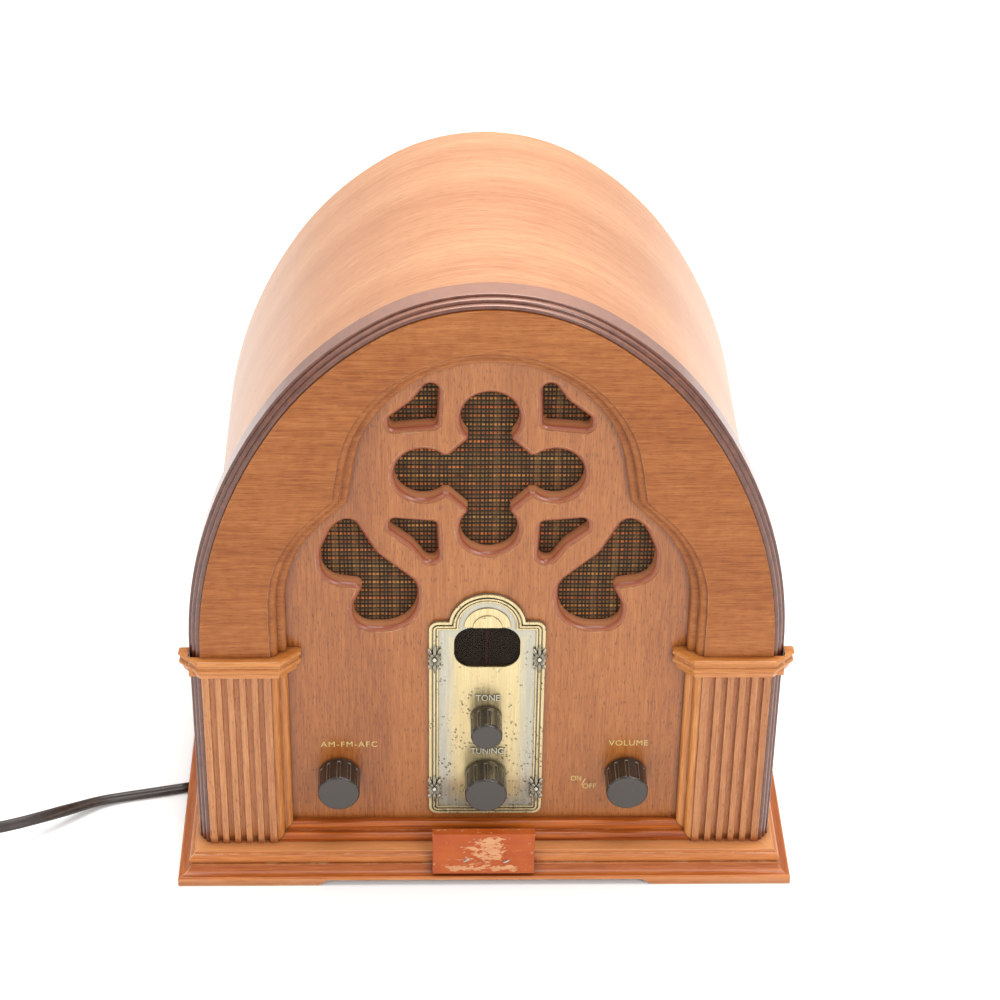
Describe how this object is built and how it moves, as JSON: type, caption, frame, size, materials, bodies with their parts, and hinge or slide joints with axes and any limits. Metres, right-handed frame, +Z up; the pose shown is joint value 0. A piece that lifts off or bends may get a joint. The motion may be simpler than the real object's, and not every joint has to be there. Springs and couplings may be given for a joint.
{
  "type": "cathedral radio",
  "caption": "Arched wooden mantel radio with a carved grille over cloth, fluted side columns, a metal dial plate, fluted turning knobs and a mains lead with a plug.",
  "frame": {"origin": "middle of the plinth's outline, on the surface that the feet stand on", "axes": "+Z up, +X to the right seen from the front, +Y from the front towards the back"},
  "size_m": [0.4848, 0.182, 0.2945],
  "materials": {
    "cabinet_wood": "satin lacquered reddish brown veneer",
    "trim_wood": "satin lacquered orange brown wood",
    "dark_moulding": "glossy dark brown lacquer",
    "label_wood": "worn red-brown paint with glue marks",
    "plain_board": "unfinished board",
    "hardboard": "matte brown hardboard",
    "cloth": "dark woven grille cloth",
    "antique_brass": "pitted antique plate",
    "clear_plastic": "clear",
    "dial_black": "matte black",
    "pointer_red": "satin red",
    "knob_plastic": "glossy dark brown",
    "plated_steel": "zinc plated",
    "shaft_metal": "turned",
    "inner_plastic": "natural nylon",
    "drive_cord": "braided cord",
    "board_laminate": "brown paper laminate",
    "components": "mixed electronic parts",
    "core_steel": "varnished steel",
    "winding": "enamelled copper under tape",
    "ferrite": "sintered",
    "paper_cone": "pressed paper",
    "lead_vinyl": "dark brown vinyl",
    "prong_brass": "bright"
  },
  "bodies": {
    "cabinet": {"front_frame": "cabinet_wood", "baffle": "cabinet_wood", "recess_moulding": "cabinet_wood", "cabinet_shell": "cabinet_wood", "pilaster_left": "cabinet_wood", "pilaster_right": "cabinet_wood", "plinth_front": "trim_wood", "plinth_left": "trim_wood", "plinth_right": "trim_wood", "capital_left": "trim_wood", "capital_right": "trim_wood", "outer_moulding": "dark_moulding", "label_block": "label_wood", "base_board": "plain_board", "back_cleats": "plain_board", "back_panel": "hardboard", "grille_cloth": "cloth", "escutcheon": "antique_brass", "dial_lens": "clear_plastic", "dial_lamp": "clear_plastic", "dial_plate": "dial_black", "back_screws": "plated_steel", "machine_screws": "plated_steel", "control_nuts": "plated_steel", "chassis_plate": "plated_steel", "standoffs": "plated_steel", "lamp_holder": "plated_steel", "speaker_basket": "plated_steel", "volume_pot": "plated_steel", "tone_pot": "plated_steel", "tuning_bearing": "plated_steel", "band_switch": "inner_plastic", "tuning_capacitor": "inner_plastic", "rod_clips": "inner_plastic", "dial_cord": "drive_cord", "circuit_board": "board_laminate", "board_components": "components", "transformer_core": "core_steel", "speaker_magnet": "core_steel", "transformer_winding": "winding", "antenna_coil": "winding", "ferrite_rod": "ferrite", "speaker_cone": "paper_cone", "power_cord": "lead_vinyl", "cord_coil": "lead_vinyl", "plug": "lead_vinyl", "strain_relief": "lead_vinyl", "plug_prongs": "prong_brass"},
    "tuning": {"tuning_knob": "knob_plastic", "tuning_shaft": "shaft_metal"},
    "drum": {"tuning_drum": "inner_plastic", "capacitor_rotor": "shaft_metal"},
    "pulley": {"cord_pulley": "inner_plastic"},
    "pointer": {"dial_pointer": "pointer_red"},
    "tone": {"tone_knob": "knob_plastic", "tone_shaft": "shaft_metal"},
    "volume": {"volume_knob": "knob_plastic", "volume_shaft": "shaft_metal"},
    "band": {"band_knob": "knob_plastic", "band_shaft": "shaft_metal"}
  },
  "joints": [
    {"name": "tuning_turn", "type": "hinge", "parent": "cabinet", "child": "tuning", "pos_m": [0, -0.053, 0.0475], "axis": [0, 1, 0], "range_deg": [-215, 215]},
    {"name": "drum_turn", "type": "hinge", "parent": "cabinet", "child": "drum", "pos_m": [0.044, -0.053, 0.0925], "axis": [0, 1, 0], "range_deg": [-88.6, 88.6]},
    {"name": "pulley_turn", "type": "hinge", "parent": "cabinet", "child": "pulley", "pos_m": [-0.04, -0.053, 0.0975], "axis": [0, 1, 0], "range_deg": [-215.5, 215.5]},
    {"name": "pointer_slide", "type": "slide", "parent": "cabinet", "child": "pointer", "axis": [1, 0, 0], "range_m": [-0.0132, 0.0132]},
    {"name": "tone_turn", "type": "hinge", "parent": "cabinet", "child": "tone", "pos_m": [0, -0.053, 0.08], "axis": [0, 1, 0], "range_deg": [-150, 150]},
    {"name": "volume_turn", "type": "hinge", "parent": "cabinet", "child": "volume", "pos_m": [0.0626, -0.053, 0.0475], "axis": [0, 1, 0], "range_deg": [0, 300]},
    {"name": "band_turn", "type": "hinge", "parent": "cabinet", "child": "band", "pos_m": [-0.065, -0.053, 0.0475], "axis": [0, 1, 0], "range_deg": [-30, 30]}
  ],
  "couplings": [
    {"joint": "drum_turn", "follows": "tuning_turn", "ratio": 0.41176},
    {"joint": "pulley_turn", "follows": "tuning_turn", "ratio": 1},
    {"joint": "pointer_slide", "follows": "tuning_turn", "m_per_rad": 0.0035}
  ]
}
